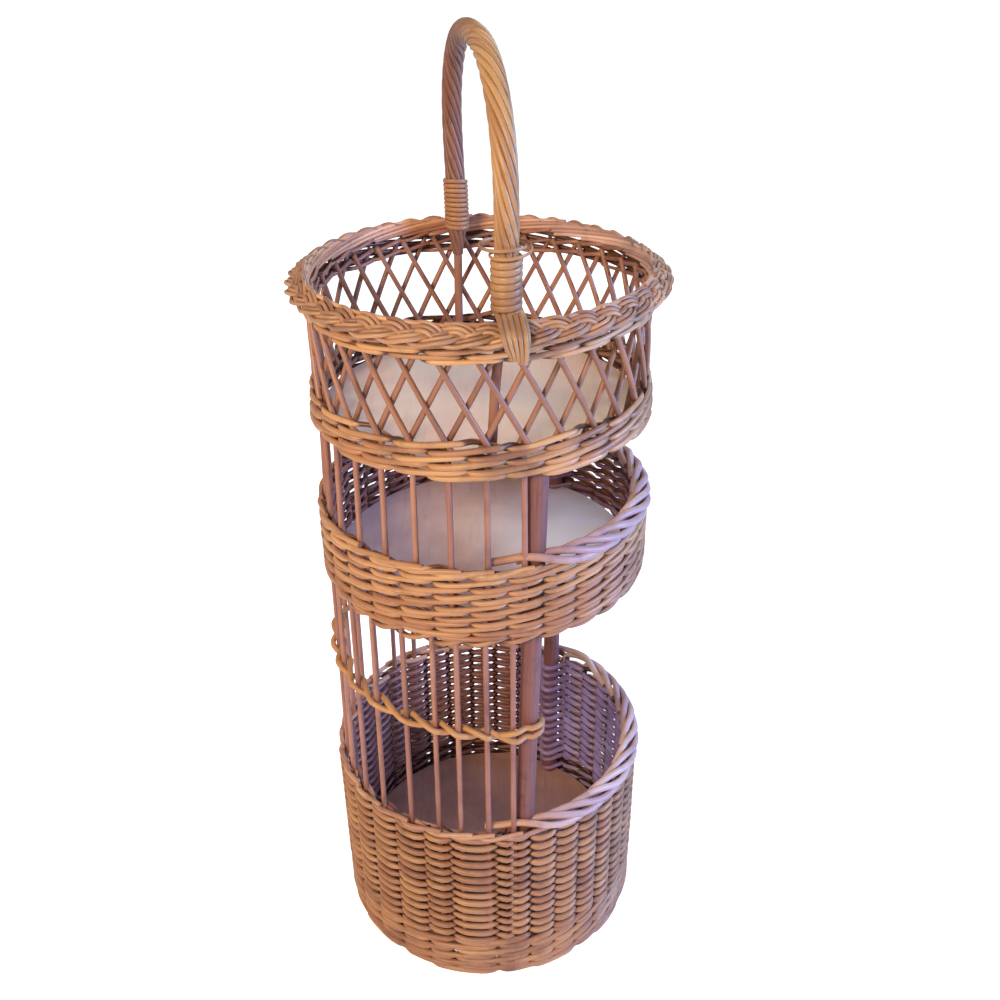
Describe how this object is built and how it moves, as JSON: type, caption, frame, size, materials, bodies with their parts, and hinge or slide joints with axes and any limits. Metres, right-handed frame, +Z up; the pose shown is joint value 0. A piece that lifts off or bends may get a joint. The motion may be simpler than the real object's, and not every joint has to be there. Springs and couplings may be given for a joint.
{
  "type": "tiered basket stand",
  "caption": "Free-standing stand of round woven willow baskets one above the other, open on one side, with a lattice top tray, plaited border and twisted bow handle.",
  "frame": {"origin": "On the floor, at the middle of the stand's round foot, on the axis that the three tiers share.", "axes": "+Z up along the axis of the tiers. +X through the middle of the open side, where food is put in and taken out. +Y towards the back leg of the handle, -Y towards its front leg."},
  "size_m": [0.3482, 0.3567, 0.9594],
  "materials": {
    "golden_willow": "smooth honey-coloured willow rods, satin",
    "brown_willow": "brown willow stakes, satin",
    "rosy_post": "rosy brown round posts with dark grain streaks",
    "pale_board": "pale birch plywood, matt",
    "grey_board": "greyed plywood, matt"
  },
  "bodies": {
    "root": {"basket_floor": "grey_board", "basket_wall": "golden_willow", "front_post": "rosy_post", "back_post": "rosy_post", "basket_stake_01": "brown_willow", "basket_stake_02": "brown_willow", "basket_stake_03": "brown_willow", "basket_stake_04": "brown_willow", "basket_stake_05": "brown_willow", "basket_stake_06": "brown_willow", "basket_stake_07": "brown_willow", "basket_stake_08": "brown_willow", "basket_stake_09": "brown_willow", "basket_stake_10": "brown_willow", "basket_stake_11": "brown_willow", "basket_stake_12": "brown_willow", "basket_stake_13": "brown_willow", "basket_stake_14": "brown_willow", "basket_stake_15": "brown_willow", "basket_stake_16": "brown_willow", "basket_stake_17": "brown_willow", "basket_stake_18": "brown_willow", "basket_stake_19": "brown_willow", "basket_stake_20": "brown_willow", "guard_twine": "golden_willow", "tray_floor": "grey_board", "tray_wall": "golden_willow", "tray_stake_01": "brown_willow", "tray_stake_02": "brown_willow", "tray_stake_03": "brown_willow", "tray_stake_04": "brown_willow", "tray_stake_05": "brown_willow", "tray_stake_06": "brown_willow", "tray_stake_07": "brown_willow", "tray_stake_08": "brown_willow", "tray_stake_09": "brown_willow", "tray_stake_10": "brown_willow", "tray_stake_11": "brown_willow", "tray_stake_12": "brown_willow", "tray_stake_13": "brown_willow", "tray_stake_14": "brown_willow", "tray_stake_15": "brown_willow", "tray_stake_16": "brown_willow", "tray_stake_17": "brown_willow", "tray_stake_18": "brown_willow", "tray_stake_19": "brown_willow", "top_floor": "pale_board", "top_band": "golden_willow", "top_lattice": "brown_willow", "plait_strand_1": "golden_willow", "plait_strand_2": "golden_willow", "plait_strand_3": "golden_willow", "handle_core": "brown_willow", "handle_rod_1": "golden_willow", "handle_rod_2": "golden_willow", "handle_rod_3": "golden_willow", "handle_rod_4": "golden_willow", "handle_rod_5": "golden_willow", "front_binding": "golden_willow", "back_binding": "golden_willow"}
  },
  "joints": []
}
